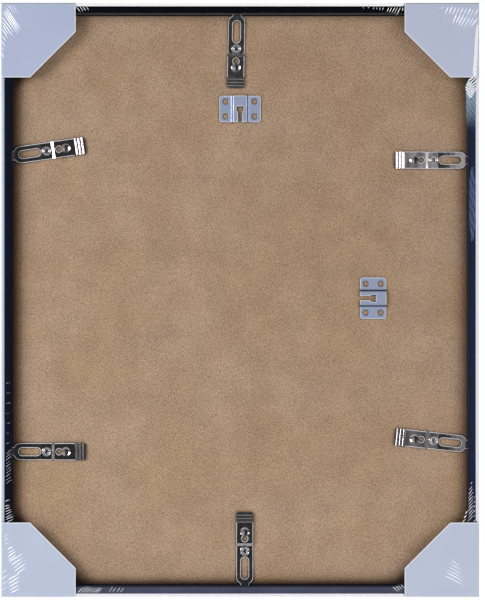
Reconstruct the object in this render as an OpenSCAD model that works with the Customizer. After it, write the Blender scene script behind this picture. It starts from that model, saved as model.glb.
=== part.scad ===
// Picture frame for a 16 x 20 inch print, modelled upright with its back towards -Y.
// A mitred black moulding holds glazing, a blank sheet and a hardboard back in its rabbet.
// Six riveted turn clips keep them there, two pressed hangers take a nail, and four folded
// card guards cover the corners. Z is up, X is to the right as seen from the back.
// The origin is where the nail seats in the portrait hanger. All lengths are millimetres.

/* [Print] */
// Width of the print that the frame holds
print_w = 406.4; // [280:0.1:600]
// Height of the print that the frame holds
print_h = 508; // [380:0.1:760]

/* [Moulding] */
// Room beside the sheets, on each side of the rabbet
side_room = 0.3; // [0.1:0.1:1.5]
// Room above and below the sheets in the rabbet
end_room = 1.2; // [0.1:0.1:2]
// Width of the wall outside the rabbet
rim_w = 6.5; // [5.5:0.1:14]
// How far the front lip covers the glazing
lip_reach = 6; // [3:0.1:14]
// Thickness of the front lip
lip_t = 3.6; // [2.6:0.1:8]
// Depth from the back face of the moulding to the hardboard
recess = 10; // [6:0.1:14]
// Rounding of the two long outer edges
edge_r = 0.8; // [0.3:0.1:2]
// Width of the slope on the sight edge
sight_w = 1.6; // [0.4:0.1:2.5]
// Height of the slope on the sight edge
sight_h = 1; // [0.3:0.1:1.8]
// Height of the groove that takes the tongues of the clips
groove_h = 2; // [1.6:0.1:3]
// Wood left between that groove and the outside
groove_wall = 2.1; // [1.5:0.1:2.6]
// Height of a V nail in a mitre
v_nail_h = 3.6; // [2:0.1:4]
// Length of one wing of a V nail
v_nail_wing = 3.2; // [2:0.1:4]
// Thickness of a V nail
v_nail_t = 0.5; // [0.3:0.1:0.8]
// How far a V nail is sunk below the back face
v_nail_sink = 0.4; // [0.1:0.1:0.6]

/* [Sheets] */
// Thickness of the hardboard back
board_t = 3; // [2.6:0.1:5]
// Thickness of the blank sheet that stands in for the print
insert_t = 0.4; // [0.2:0.1:2]
// Thickness of the glazing
glazing_t = 2; // [1:0.1:3]

/* [Turn clips] */
// Distance from the rabbet wall to the pivot of a clip
clip_setback = 30.3; // [29:0.1:40]
// Width of the clip strip
clip_w = 15; // [13:0.1:18]
// Thickness of the clip strip
clip_t = 0.7; // [0.5:0.1:0.9]
// Gap between the rounded nose and the rabbet wall
nose_gap = 1; // [0.6:0.1:3]
// Corner radius of the nose
nose_r = 6; // [4:0.1:6.4]
// Width of the tongue that enters the groove
tongue_w = 7.6; // [5:0.1:9]
// Gap between the end of the tongue and the bottom of the groove
tongue_gap = 0.9; // [0.6:0.1:2]
// Height that the nose half bows up between pivot and tongue
nose_bow = 0.5; // [0.2:0.1:0.7]
// Width of the long slot in the nose half
clip_slot_w = 7; // [4:0.1:8]
// Distance from the pivot to the near end of that slot
clip_slot_near = 5.2; // [4.8:0.1:7]
// Length of that slot
clip_slot_l = 19.8; // [10:0.1:21]
// Distance from the pivot to the bend that raises the tail
bend_at = 5.2; // [4.9:0.1:6]
// Length of that bend along the strip
bend_run = 2.2; // [1:0.1:2.8]
// Height of the tail above the rest of the strip
tail_rise = 1.2; // [1:0.1:2]
// Distance from the pivot to the end of the tail
tail_l = 35; // [33:0.1:37]
// Corner radius at the end of the tail
tail_r = 1.6; // [0.5:0.1:3]
// Distance from the pivot to the round hole in the tail
tail_hole_at = 11.3; // [10.4:0.1:12.5]
// Diameter of that hole
tail_hole_d = 5.5; // [3:0.1:6]
// Distance from the pivot to the pressed dish in the tail
dish_at = 17.4; // [16:0.1:19]
// Diameter of the dish
dish_d = 8; // [6:0.1:9]
// Depth of the dish
dish_depth = 0.9; // [0.4:0.1:0.9]
// Number of grip ridges across the tail
ridges = 3; // [2:1:3]
// Distance from ridge to ridge
ridge_pitch = 2.9; // [2.2:0.1:3]
// Height of a ridge above the tail
ridge_h = 0.5; // [0.3:0.1:0.6]
// Radius of a ridge
ridge_r = 1.2; // [1:0.1:1.3]

/* [Rivets] */
// Diameter of a rivet shank, on which the clip turns
shank_d = 5; // [4:0.1:5.6]
// Diameter of the rolled end over the clip
roll_d = 8.5; // [7.6:0.1:9]
// Diameter of the bead round the rolled end
bead_d = 1; // [0.6:0.1:1.2]
// Diameter of the hollow in the shank
hollow_d = 3; // [2:0.1:3.4]
// Diameter of the flat head let into the front of the hardboard
rivet_head_d = 8.4; // [7:0.1:10]
// Thickness of that head
rivet_head_t = 0.8; // [0.5:0.1:1]

/* [Hangers] */
// Distance from the rabbet wall to the middle of a hanger
hanger_setback = 84.3; // [76:0.1:110]
// Height of the landscape hanger above the middle of the frame
landscape_shift = 1.5; // [-10:0.1:10]
// Width of a hanger plate
plate_w = 37; // [34:0.1:44]
// Height of a hanger plate
plate_h = 23.5; // [21:0.1:28]
// Thickness of a hanger plate
plate_t = 0.8; // [0.6:0.1:1]
// Corner radius of a hanger plate
plate_r = 2.5; // [1:0.1:4]
// Width of the raised bridge between its steps
bridge_w = 10.4; // [9:0.1:12]
// Height of the gap behind the bridge
bridge_h = 1.6; // [1.2:0.1:2.4]
// Width of the rounded step on each side of the bridge
step_w = 3.4; // [2.4:0.1:4]
// Width of the open slot that leads the nail in
nail_slot_w = 3.9; // [3:0.1:5]
// Length of that slot
nail_slot_l = 8.8; // [6:0.1:10]
// Width of the nail opening
nail_head_w = 6.6; // [5.6:0.1:8]
// Height of the nail opening, up to the tops of its lobes
nail_head_h = 5.6; // [5:0.1:7]
// Number of teeth between the round lobes at the top of the nail opening
teeth = 2; // [1:1:4]
// Distance between the two columns of fixing tubes
tube_dx = 25.9; // [24:0.1:28]
// Distance between the two rows of fixing tubes
tube_dy = 13.4; // [11:0.1:15]
// Bore of a fixing tube
tube_bore = 4.9; // [3:0.1:5.2]
// Wall of a fixing tube
tube_wall = 0.4; // [0.3:0.1:0.6]
// Rounding round the mouth of a fixing tube
mouth_r = 0.7; // [0.3:0.1:0.75]
// Depth of a fixing tube in the hardboard
tube_l = 2.2; // [1.2:0.1:2.4]

/* [Corner guards] */
// Length of a guard along the frame
guard_leg = 66.2; // [50:0.1:90]
// Length of the square-cut end of a guard
guard_end = 25.6; // [15:0.1:40]
// Thickness of the card
guard_t = 1.2; // [0.6:0.1:2]
// Room between the card and the outer sides of the frame
guard_room = 1.5; // [0.3:0.1:3]
// Rounding of the folds, limited by the card
fold_r = 1.1; // [0.3:0.1:1.2]
// Width of the open seam where the two side walls meet
seam_w = 0.8; // [0.3:0.1:1.5]

/* [Clearances] */
// Gap between the clip strip, the hardboard and the rolled end
clip_gap = 0.1; // [0.05:0.01:0.3]
// Radial gap between a rivet shank and its clip
pivot_fit = 0.05; // [0.02:0.01:0.1]
// Gap round rivets, tubes and V nails where they are let in
seat_fit = 0.02; // [0.01:0.01:0.05]
// Gap between a guard and the faces of the moulding
guard_gap = 0.3; // [0.2:0.1:0.8]

/* [Hidden] */
$fn = 96;
// Number of flats that the bow of a clip's nose half is pressed in
bow_steps = 6;
// Number of flats that make a rounded step of a hanger
step_flats = 6;
// Radius of a lobe of the nail opening as a share of the distance between lobes
lobe_share = 0.52;
// Distance from the end of the tail to the first ridge, as a share of the pitch
first_ridge_share = 0.8;
// How far a cut runs past the faces that it opens
overrun = 1;

opening_w = print_w + 2 * side_room;
opening_h = print_h + 2 * end_room;
outer_w = opening_w + 2 * rim_w;
outer_h = opening_h + 2 * rim_w;
moulding_w = rim_w + lip_reach;
insert_y = recess + board_t;
glazing_y = insert_y + insert_t;
lip_y = glazing_y + glazing_t;
depth = lip_y + lip_t;

// Heights over the hardboard, towards the back
strip_z = clip_gap;
tail_z = strip_z + tail_rise;
roll_z = strip_z + clip_t + clip_gap;
groove_mid = recess - strip_z - clip_t / 2;
groove_d = rim_w - groove_wall;
nose_u = clip_setback - nose_gap;
tongue_u = clip_setback + groove_d - tongue_gap;
tongue_r = tongue_w / 6;

notch_l = nail_slot_l + nail_head_h;
seat_up = notch_l - plate_h / 2;
seat_y = recess - bridge_h - plate_t / 2;
seat_z = opening_h / 2 - hanger_setback + seat_up;

guard_out = guard_room + guard_t;
guard_depth = depth + 2 * (guard_gap + guard_t);

// One row for each clip: the side that its nose points to, how far it leans from there in
// degrees, and where it sits along that side as a share of the side's length from its middle
clip_side_shares = [
    [90, -1.3, -0.0084],
    [270, 0, 0.0104],
    [180, 8.3, 0.261],
    [180, 0, -0.266],
    [0, 0, 0.245],
    [0, -6.2, -0.247]
];
function pivot_of(row) = [
    cos(row[0]) * (opening_w / 2 - clip_setback) + abs(sin(row[0])) * row[2] * opening_w,
    sin(row[0]) * (opening_h / 2 - clip_setback) + abs(cos(row[0])) * row[2] * opening_h
];

// Middle of each hanger, and the turn of the second one
portrait_place = [0, opening_h / 2 - hanger_setback];
landscape_place = [opening_w / 2 - hanger_setback, landscape_shift];
landscape_turn = -90;

// Rounded rectangle with its middle at the origin
module rounded(w, h, r) {
    square([w - 2 * r, h], center = true);
    square([w, h - 2 * r], center = true);
    for (sx = [-1, 1], sy = [-1, 1])
        translate([sx * (w / 2 - r), sy * (h / 2 - r)]) circle(r);
}

// Moves the model so that the nail seat lies at the origin
module seated() {
    translate([0, -seat_y, -seat_z]) children();
}

// Puts a piece on the back of the hardboard, flat side down, turned in its plane
module on_board(place, turn = 0) {
    translate([place[0], recess, place[1]]) rotate([90, 0, 0]) rotate([0, 0, turn]) children();
}

// Puts a piece that is drawn for the lower left corner on that corner of the frame
module at_corner(right, top) {
    mirror([right, 0, 0]) mirror([0, 0, top]) translate([-outer_w / 2, 0, -outer_h / 2]) children();
}

// What is left of a square corner outside a rounding of radius r
module corner_waste(r) {
    difference() {
        translate([-overrun, -overrun]) square([r + overrun, r + overrun]);
        translate([r, r]) circle(r);
    }
}

// Section of the moulding: inwards from its outer side, and forwards from its back face
module moulding_section() {
    difference() {
        polygon([
            [0, 0], [rim_w, 0],
            [rim_w, groove_mid - groove_h / 2], [groove_wall, groove_mid - groove_h / 2],
            [groove_wall, groove_mid + groove_h / 2], [rim_w, groove_mid + groove_h / 2],
            [rim_w, lip_y], [moulding_w, lip_y],
            [moulding_w, depth - sight_h], [moulding_w - sight_w, depth], [0, depth]
        ]);
        corner_waste(edge_r);
        translate([0, depth]) mirror([0, 1]) corner_waste(edge_r);
    }
}

// One side of the moulding along Z, on the left, with both ends mitred
module moulding_side(side_l, across) {
    over = moulding_w + overrun;
    difference() {
        intersection() {
            translate([-across / 2, 0, 0]) linear_extrude(side_l, center = true) moulding_section();
            translate([-across / 2, depth + overrun, 0]) rotate([90, 0, 0])
                linear_extrude(depth + 2 * overrun) polygon([
                    [-overrun, -side_l / 2 - overrun], [over, -side_l / 2 + over],
                    [over, side_l / 2 - over], [-overrun, side_l / 2 + overrun]
                ]);
        }
        for (top = [0, 1])
            mirror([0, 0, top]) translate([-across / 2, 0, -side_l / 2]) v_nail(seat_fit, overrun);
    }
}

module upright_moulding(right) {
    color("#1c2233") seated() mirror([right, 0, 0]) moulding_side(outer_h, outer_w);
}

module level_moulding(bottom) {
    color("#1c2233") seated() mirror([0, 0, bottom]) rotate([0, 90, 0])
        moulding_side(outer_w, outer_h);
}

// V nail across a mitre, drawn for the lower left corner; fit widens it into its pocket
module v_nail(fit = 0, above = 0) {
    fold = (rim_w + v_nail_wing) / 2;
    low = v_nail_sink - above;
    wing = v_nail_wing + v_nail_t / 2 + 2 * fit;
    thick = v_nail_t + 2 * fit;
    for (flip = [0, 1])
        mirror([flip, 0, -flip])
            translate([fold - v_nail_wing - fit, low, fold - v_nail_t / 2 - fit])
                cube([wing, v_nail_h + above + fit, thick]);
}

module corner_v_nails() {
    color("#8d9097") seated()
        for (right = [0, 1], top = [0, 1]) at_corner(right, top) v_nail();
}

// A sheet in the rabbet, with its back face at depth y
module sheet(y, t) {
    translate([-print_w / 2, y, -print_h / 2]) cube([print_w, t, print_h]);
}

module glazing() {
    color("#cfe3e0", 0.35) seated() sheet(glazing_y, glazing_t);
}

module insert_sheet() {
    color("#f1efe9") seated() sheet(insert_y, insert_t);
}

module tube_places() {
    for (sx = [-1, 1], sy = [-1, 1])
        translate([sx * tube_dx / 2, sy * tube_dy / 2, 0]) children();
}

// The ring that a fixing tube presses into the hardboard
module tube_ring() {
    translate([0, 0, -tube_l - seat_fit]) difference() {
        cylinder(r = tube_bore / 2 + tube_wall + seat_fit, h = tube_l + seat_fit + overrun);
        translate([0, 0, -overrun])
            cylinder(r = tube_bore / 2 - seat_fit, h = tube_l + seat_fit + 3 * overrun);
    }
}

module rivet_hole() {
    translate([0, 0, -board_t - overrun])
        cylinder(r = shank_d / 2 + seat_fit, h = board_t + 2 * overrun);
    translate([0, 0, -board_t - overrun])
        cylinder(r = rivet_head_d / 2 + seat_fit, h = rivet_head_t + seat_fit + overrun);
}

module backing_board() {
    color("#a28872") seated() difference() {
        sheet(recess, board_t);
        for (row = clip_side_shares) on_board(pivot_of(row)) rivet_hole();
        on_board(portrait_place) tube_places() tube_ring();
        on_board(landscape_place, landscape_turn) tube_places() tube_ring();
    }
}

// Section of a hanger plate across its bridge: flat feet, a rounded step and a raised middle
module plate_section() {
    inset = plate_t * bridge_h / step_w / 2;
    step = [for (i = [0 : step_flats]) let (share = i / step_flats)
        [bridge_w / 2 + share * step_w, bridge_h * (1 + cos(180 * share)) / 2]];
    for (side = [0, 1])
        mirror([side, 0]) polygon(concat(
            [[0, bridge_h + plate_t]],
            [for (corner = step) corner + [0, plate_t]],
            [[plate_w / 2 + overrun, plate_t], [plate_w / 2 + overrun, 0]],
            [for (i = [step_flats : -1 : 0]) step[i] - [inset, 0]],
            [[0, bridge_h]]
        ));
}

// The opening that takes the nail: a slot from the lower edge, and a wider head with round lobes
module nail_notch() {
    head_top = notch_l - plate_h / 2;
    head_low = head_top - nail_head_h;
    slope = (nail_head_w - nail_slot_w) / 2;
    pitch = nail_head_w / (teeth + 1);
    lobe_r = pitch * lobe_share;
    lobe_mid = head_top - lobe_r;
    translate([-nail_slot_w / 2, -plate_h / 2 - overrun])
        square([nail_slot_w, nail_slot_l + 2 * overrun]);
    polygon([
        [-nail_slot_w / 2, head_low], [nail_slot_w / 2, head_low],
        [nail_head_w / 2, head_low + slope], [nail_head_w / 2, lobe_mid],
        [-nail_head_w / 2, lobe_mid], [-nail_head_w / 2, head_low + slope]
    ]);
    for (i = [0 : teeth])
        translate([(i - teeth / 2) * pitch, lobe_mid]) circle(lobe_r);
}

module hanger() {
    bore_r = tube_bore / 2;
    difference() {
        union() {
            intersection() {
                rotate([90, 0, 0]) linear_extrude(plate_h + 2 * overrun, center = true)
                    plate_section();
                translate([0, 0, -overrun])
                    linear_extrude(bridge_h + plate_t + 2 * overrun) rounded(plate_w, plate_h, plate_r);
            }
            tube_places() translate([0, 0, -tube_l])
                cylinder(r = bore_r + tube_wall, h = tube_l + plate_t / 2);
        }
        translate([0, 0, -overrun])
            linear_extrude(bridge_h + plate_t + 2 * overrun) nail_notch();
        tube_places() {
            translate([0, 0, -tube_l - overrun])
                cylinder(r = bore_r, h = tube_l + plate_t + 2 * overrun);
            translate([0, 0, plate_t]) rotate_extrude() difference() {
                translate([bore_r - mouth_r / 2, -mouth_r]) square([3 * mouth_r / 2, 2 * mouth_r]);
                translate([bore_r + mouth_r, -mouth_r]) circle(mouth_r);
            }
        }
    }
}

module hanger_portrait() {
    color("#9aa4b8") seated() on_board(portrait_place) hanger();
}

module hanger_landscape() {
    color("#9aa4b8") seated() on_board(landscape_place, landscape_turn) hanger();
}

// Rivet from the front: flat head, shank through board and clip, hollow end rolled over
module rivet() {
    flange_t = bead_d / 2;
    shank_r = shank_d / 2;
    bead_at = roll_d / 2 - bead_d / 2;
    difference() {
        union() {
            translate([0, 0, -board_t]) cylinder(r = rivet_head_d / 2, h = rivet_head_t);
            translate([0, 0, -board_t]) cylinder(r = shank_r, h = board_t + roll_z + flange_t);
            translate([0, 0, roll_z]) cylinder(r = bead_at, h = flange_t);
            translate([0, 0, roll_z + bead_d / 2]) rotate_extrude()
                translate([bead_at, 0]) circle(d = bead_d);
            translate([0, 0, roll_z + flange_t]) rotate_extrude()
                translate([(shank_r + hollow_d / 2) / 2, 0]) circle(d = shank_r - hollow_d / 2);
        }
        translate([0, 0, rivet_head_t - board_t])
            cylinder(d = hollow_d, h = board_t + roll_z + bead_d);
    }
}

module clip_rivets() {
    color("#c3c7cd") seated() for (row = clip_side_shares) on_board(pivot_of(row)) rivet();
}

// Plan of a clip, with the pivot at the origin and the nose towards +X
module clip_plan() {
    translate([-tail_l / 2, 0]) rounded(tail_l, clip_w, tail_r);
    translate([-tail_l / 2, -clip_w / 2]) square([tail_l / 2 + nose_u - nose_r, clip_w]);
    translate([0, nose_r - clip_w / 2]) square([nose_u, clip_w - 2 * nose_r]);
    for (side = [-1, 1])
        translate([nose_u - nose_r, side * (clip_w / 2 - nose_r)]) circle(nose_r);
    translate([tongue_u / 2, 0]) rounded(tongue_u, tongue_w, tongue_r);
}

// Side view of a clip: flat at the pivot, bowed to the tongue, raised and ridged at the tail
module clip_side() {
    flat = roll_d / 2;
    chord = tongue_u + overrun - flat;
    bow = [for (i = [0 : bow_steps]) let (share = i / bow_steps)
        [flat + share * chord, strip_z + 4 * nose_bow * share * (1 - share)]];
    ridge_z = tail_z + clip_t + ridge_h - ridge_r;
    ridge_at = [for (i = [0 : ridges - 1]) ridge_pitch * (i + first_ridge_share) - tail_l];
    top_shift = clip_t / 2;
    tail_line = [[-tail_l - overrun, tail_z], [-bend_at - bend_run, tail_z], [-bend_at, strip_z]];
    difference() {
        union() {
            polygon(concat(
                tail_line, bow,
                [for (i = [bow_steps : -1 : 0]) bow[i] + [0, clip_t]],
                [for (i = [2, 1]) tail_line[i] + [top_shift, clip_t]],
                [tail_line[0] + [0, clip_t]]
            ));
            for (u = ridge_at) translate([u, ridge_z]) intersection() {
                circle(ridge_r);
                translate([-ridge_r, 0]) square([2 * ridge_r, ridge_r]);
            }
        }
        for (u = ridge_at) translate([u, ridge_z]) circle(ridge_r - clip_t);
    }
}

module clip() {
    dish_r = (dish_d * dish_d / 4 + dish_depth * dish_depth) / (2 * dish_depth);
    dish_z = tail_z + clip_t - dish_depth + dish_r;
    slot_from = clip_slot_near + clip_slot_w / 2;
    slot_to = clip_slot_near + clip_slot_l - clip_slot_w / 2;
    tall = tail_z + clip_t + ridge_h + overrun;
    difference() {
        union() {
            intersection() {
                linear_extrude(tall) clip_plan();
                rotate([90, 0, 0]) linear_extrude(clip_w + 2 * overrun, center = true) clip_side();
            }
            intersection() {
                translate([-dish_at, 0, dish_z]) sphere(dish_r + clip_t);
                translate([-dish_at, 0, 0]) cylinder(d = dish_d + 2 * clip_t, h = tail_z + clip_t / 2);
            }
        }
        translate([-dish_at, 0, dish_z]) sphere(dish_r);
        cylinder(r = shank_d / 2 + pivot_fit, h = tall);
        translate([-tail_hole_at, 0, 0]) cylinder(d = tail_hole_d, h = tall);
        for (u = [slot_from, slot_to]) translate([u, 0, 0]) cylinder(d = clip_slot_w, h = tall);
        translate([slot_from, -clip_slot_w / 2, 0]) cube([slot_to - slot_from, clip_slot_w, tall]);
    }
}

module placed_clip(index) {
    row = clip_side_shares[index];
    color("#a9acb4") seated() on_board(pivot_of(row), row[0] + row[1]) clip();
}

// Plan of a guard: a square corner with its inner corner cut off across
module guard_plan() {
    polygon([
        [0, 0], [guard_leg, 0], [guard_leg, guard_end], [guard_end, guard_leg], [0, guard_leg]
    ]);
}

// Section of a guard across one leg: the outer fold edges are rounded
module guard_section() {
    difference() {
        square([guard_leg + overrun, guard_depth]);
        corner_waste(min(fold_r, guard_t));
        translate([0, guard_depth]) mirror([0, 1]) corner_waste(min(fold_r, guard_t));
    }
}

// Card folded round the lower left corner, drawn with its own outer corner at the origin
module guard() {
    inner = guard_depth - 2 * guard_t;
    difference() {
        intersection() {
            translate([0, guard_depth, 0]) rotate([90, 0, 0]) linear_extrude(guard_depth) guard_plan();
            translate([0, 0, -overrun]) linear_extrude(guard_leg + 2 * overrun) guard_section();
            mirror([1, 0, -1]) translate([0, 0, -overrun])
                linear_extrude(guard_leg + 2 * overrun) guard_section();
        }
        translate([guard_t, guard_t, guard_t]) cube([guard_leg, inner, guard_leg]);
        translate([0, guard_t, 0]) rotate([0, -45, 0]) translate([-overrun, 0, -seam_w / 2])
            cube([2 * guard_t + overrun, inner, seam_w]);
    }
}

module placed_guard(right, top) {
    color("#b4bfd6") seated() at_corner(right, top)
        translate([-guard_out, -guard_gap - guard_t, -guard_out]) guard();
}

level_moulding(0);  // moulding_top
level_moulding(1);  // moulding_bottom
upright_moulding(0);  // moulding_left
upright_moulding(1);  // moulding_right
corner_v_nails();
glazing();
insert_sheet();
backing_board();
hanger_portrait();
hanger_landscape();
clip_rivets();
placed_clip(0);  // clip_top
placed_clip(1);  // clip_bottom
placed_clip(2);  // clip_left_upper
placed_clip(3);  // clip_left_lower
placed_clip(4);  // clip_right_upper
placed_clip(5);  // clip_right_lower
placed_guard(0, 1);  // corner_guard_top_left
placed_guard(1, 1);  // corner_guard_top_right
placed_guard(0, 0);  // corner_guard_bottom_left
placed_guard(1, 0);  // corner_guard_bottom_right
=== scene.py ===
"""Finishes and film for the back of a wrapped picture frame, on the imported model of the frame.

The model stands upright with its back towards -Y, Z up, X to the right as seen from the back, in metres.
"""
import math
import random

import bmesh
import bpy
from mathutils import Matrix, Vector


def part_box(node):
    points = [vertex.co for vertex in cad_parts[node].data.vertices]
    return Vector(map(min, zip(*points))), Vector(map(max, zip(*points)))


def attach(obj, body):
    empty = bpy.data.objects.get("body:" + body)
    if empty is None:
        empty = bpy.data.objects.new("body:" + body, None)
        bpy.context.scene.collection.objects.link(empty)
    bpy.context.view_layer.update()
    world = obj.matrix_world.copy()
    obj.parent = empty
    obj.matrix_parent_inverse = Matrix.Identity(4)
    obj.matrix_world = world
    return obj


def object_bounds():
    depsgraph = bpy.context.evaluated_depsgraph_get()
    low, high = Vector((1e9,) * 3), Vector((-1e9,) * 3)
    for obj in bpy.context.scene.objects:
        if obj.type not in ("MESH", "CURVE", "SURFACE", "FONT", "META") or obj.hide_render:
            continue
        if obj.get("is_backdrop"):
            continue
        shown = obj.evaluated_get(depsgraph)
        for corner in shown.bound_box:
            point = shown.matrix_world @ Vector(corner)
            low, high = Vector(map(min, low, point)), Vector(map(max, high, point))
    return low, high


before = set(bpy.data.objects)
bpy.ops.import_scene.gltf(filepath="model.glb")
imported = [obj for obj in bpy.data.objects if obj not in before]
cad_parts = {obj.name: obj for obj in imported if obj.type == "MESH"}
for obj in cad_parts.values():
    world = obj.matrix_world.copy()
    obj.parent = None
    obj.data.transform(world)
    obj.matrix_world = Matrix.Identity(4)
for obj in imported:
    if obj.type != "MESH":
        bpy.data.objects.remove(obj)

bl_info = {
    "name": "Wrapped picture frame",
    "version": (1, 0, 0),
    "blender": (4, 5, 0),
    "location": "3D View > Sidebar > Picture frame",
    "description": "Finishes the packed picture frame and wraps it in shrink film",
    "category": "Object",
}

MM = 0.001
CAD_LOW, CAD_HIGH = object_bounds()

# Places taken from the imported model, so that the film follows the frame and its guards
LENGTHS = ("moulding_top", "moulding_bottom", "moulding_left", "moulding_right")
CLIPS = ("clip_top", "clip_bottom", "clip_left_upper", "clip_left_lower", "clip_right_upper", "clip_right_lower")
HANGERS = ("hanger_portrait", "hanger_landscape")
CORNERS = ("top_left", "top_right", "bottom_left", "bottom_right")
RIM_LOW, RIM_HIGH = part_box("moulding_left")[0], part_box("moulding_right")[1]
GUARD_LOW, GUARD_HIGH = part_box("corner_guard_bottom_left")
MIDDLE_Z = (CAD_LOW.z + CAD_HIGH.z) / 2
HALF_X = (CAD_HIGH.x - CAD_LOW.x) / 2
HALF_Z = (CAD_HIGH.z - CAD_LOW.z) / 2
GUARD_LEG = GUARD_HIGH.x - GUARD_LOW.x
# How long the square end of a guard's leg is, before its slant starts
GUARD_END = 25.6 * MM
BACK_Y = RIM_LOW.y
FRONT_Y = RIM_HIGH.y
BOARD_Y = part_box("backing_board")[0].y
# Length of the ridged end of a clip's tail, and how far in from the frame's outside it starts
RIDGED = 9.6 * MM
TAIL_IN = RIM_HIGH.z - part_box("clip_top")[0].z - RIDGED
# Where the moulding's back ends and the rabbet's wall starts, in from the frame's outside
WALL_IN = 6.4 * MM
# Where the film starts to gather, out from the moulding, and how far it stands off the moulding's faces
GATHER_OUT = 0.1 * MM
FILM_OFF = 0.3 * MM
# How far creases and loose tongues lie off the moulding's faces
CREASE_OFF = 0.6 * MM
TONGUE_OFF = 0.5 * MM
# A ring that something round has pressed in the board
RING_AT = (-0.1571, BOARD_Y, MIDDLE_Z + 0.1258)
RING_RADIUS = 1.9 * MM

WHITE = (1.0, 1.0, 1.0, 1.0)
# What all colour values of the sidebar share
COLOUR = {"size": 4, "subtype": "COLOR", "min": 0, "max": 1}
# For each length: the colour painted on its rabbet wall for how that wall is lit, and how far in mm from the outside
# the back starts to turn black in a painted shade along the rabbet's edge
WALLS = {"top": ("#4c4642", 4.2), "bottom": ("#2c2d38", 5.8), "left": ("#0e0e14", 4.2), "right": ("#2a2a36", 5.4)}
# For each side: the colour of the gathered film, a tone painted for how that side is lit, and how much of it shows
GATHERED_LIT_TONES = {
    "left": ("#a4aec2", 0.58), "right": ("#c2c1d0", 0.36), "top": ("#b8b8c8", 0.12), "bottom": ("#c4c4d2", 0.32),
}


def linear(code):
    """Turns a hex sRGB colour into the linear values that shaders take."""
    parts = [int(code[i:i + 2], 16) / 255 for i in (1, 3, 5)]
    return tuple(c / 12.92 if c <= 0.04045 else ((c + 0.055) / 1.055) ** 2.4 for c in parts) + (1.0,)


def scaled(colour, share):
    """A linear colour with all of its light scaled."""
    return tuple(min(1.0, c * share) for c in colour[:3]) + (1.0,)


def add_node(tree, kind, inputs=None, **settings):
    """Adds one shader node: settings are its properties, and its inputs are values, or sockets or nodes to link.

    A node given as an input is linked by the first output that it shows.
    """
    made = tree.nodes.new("ShaderNode" + kind)
    for name, value in settings.items():
        setattr(made, name, value)
    for name, value in (inputs or {}).items():
        if isinstance(value, bpy.types.Node):
            value = next(output for output in value.outputs if output.enabled)
        if isinstance(value, bpy.types.NodeSocket):
            tree.links.new(value, made.inputs[name])
        else:
            made.inputs[name].default_value = value
    return made


def new_material(name):
    """A material with an empty tree, and its tree."""
    made = bpy.data.materials.new(name)
    made.use_nodes = True
    made.node_tree.nodes.clear()
    return made, made.node_tree


def dress(obj, material):
    """Gives a piece one material in place of all others."""
    obj.data.materials.clear()
    obj.data.materials.append(material)


def put_down():
    """Leaves edit mode and deselects everything."""
    if bpy.context.object and bpy.context.object.mode != "OBJECT":
        bpy.ops.object.mode_set(mode="OBJECT")
    bpy.ops.object.select_all(action="DESELECT")


def take(obj):
    """Makes one object the only selected and active one."""
    put_down()
    obj.select_set(True)
    bpy.context.view_layer.objects.active = obj


def named(name):
    """Names the object that was just added, and its mesh."""
    obj = bpy.context.object
    obj.name = name
    obj.data.name = name
    return obj


def settle(obj):
    """Puts an object's place, turn and scale into its mesh."""
    take(obj)
    bpy.ops.object.transform_apply(location=True, rotation=True, scale=True)
    put_down()


def edit(obj):
    """Opens a mesh in edit mode with all of it selected."""
    take(obj)
    bpy.ops.object.mode_set(mode="EDIT")
    bpy.ops.mesh.select_all(action="SELECT")


def pick(obj, kind, test):
    """Selects the verts, edges or faces that pass a test, in edit mode, and stops if there are none."""
    bpy.ops.mesh.select_all(action="DESELECT")
    bpy.ops.mesh.select_mode(type={"verts": "VERT", "edges": "EDGE", "faces": "FACE"}[kind])
    mesh = bmesh.from_edit_mesh(obj.data)
    chosen = [part for part in getattr(mesh, kind) if test(part)]
    if not chosen:
        raise RuntimeError(f"{obj.name}: no {kind} where they are looked for")
    for part in chosen:
        part.select_set(True)
    bmesh.update_edit_mesh(obj.data)


def middle(edge):
    """Middle point of an edge."""
    return (edge.verts[0].co + edge.verts[1].co) / 2


def near(a, b, room=0.00005):
    """True if two lengths agree within a small room."""
    return abs(a - b) < room


def apply_modifier(obj, kind, **settings):
    """Adds a modifier with its settings and applies it."""
    take(obj)
    added = obj.modifiers.new(kind.title(), kind)
    for name, value in settings.items():
        setattr(added, name, value)
    bpy.ops.object.modifier_apply(modifier=added.name)
    put_down()


def smooth(obj, degrees=40):
    """Shades a piece smooth where its faces meet at a small angle."""
    take(obj)
    bpy.ops.object.shade_smooth_by_angle(angle=math.radians(degrees))
    put_down()


def join(parts, name):
    """Joins objects into the first and names the result."""
    put_down()
    for part in parts:
        part.select_set(True)
    bpy.context.view_layer.objects.active = parts[0]
    if len(parts) > 1:
        bpy.ops.object.join()
    return named(name)


class MouldingFinish(bpy.types.PropertyGroup):
    """Colours of the four painted lengths: one satin black, given as four copies tinted and lit differently, a painted
    reflection of the studio through the film.
    """
    # Each length's colour is the same black paint with a painted reflection of its own
    left: bpy.props.FloatVectorProperty(
        name="Left length", description="Paint of the left length", default=linear("#020a22"), **COLOUR)
    right: bpy.props.FloatVectorProperty(
        name="Right length", description="Paint of the right length", default=linear("#1a2340"), **COLOUR)
    top: bpy.props.FloatVectorProperty(
        name="Top length", description="Paint of the top length", default=linear("#020308"), **COLOUR)
    bottom: bpy.props.FloatVectorProperty(
        name="Bottom length", description="Paint of the bottom length", default=linear("#484c60"), **COLOUR)
    grain: bpy.props.FloatProperty(
        name="Grain", description="Width of the grain under the paint", unit="LENGTH", default=0.8 * MM,
        min=0.1 * MM)


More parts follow.
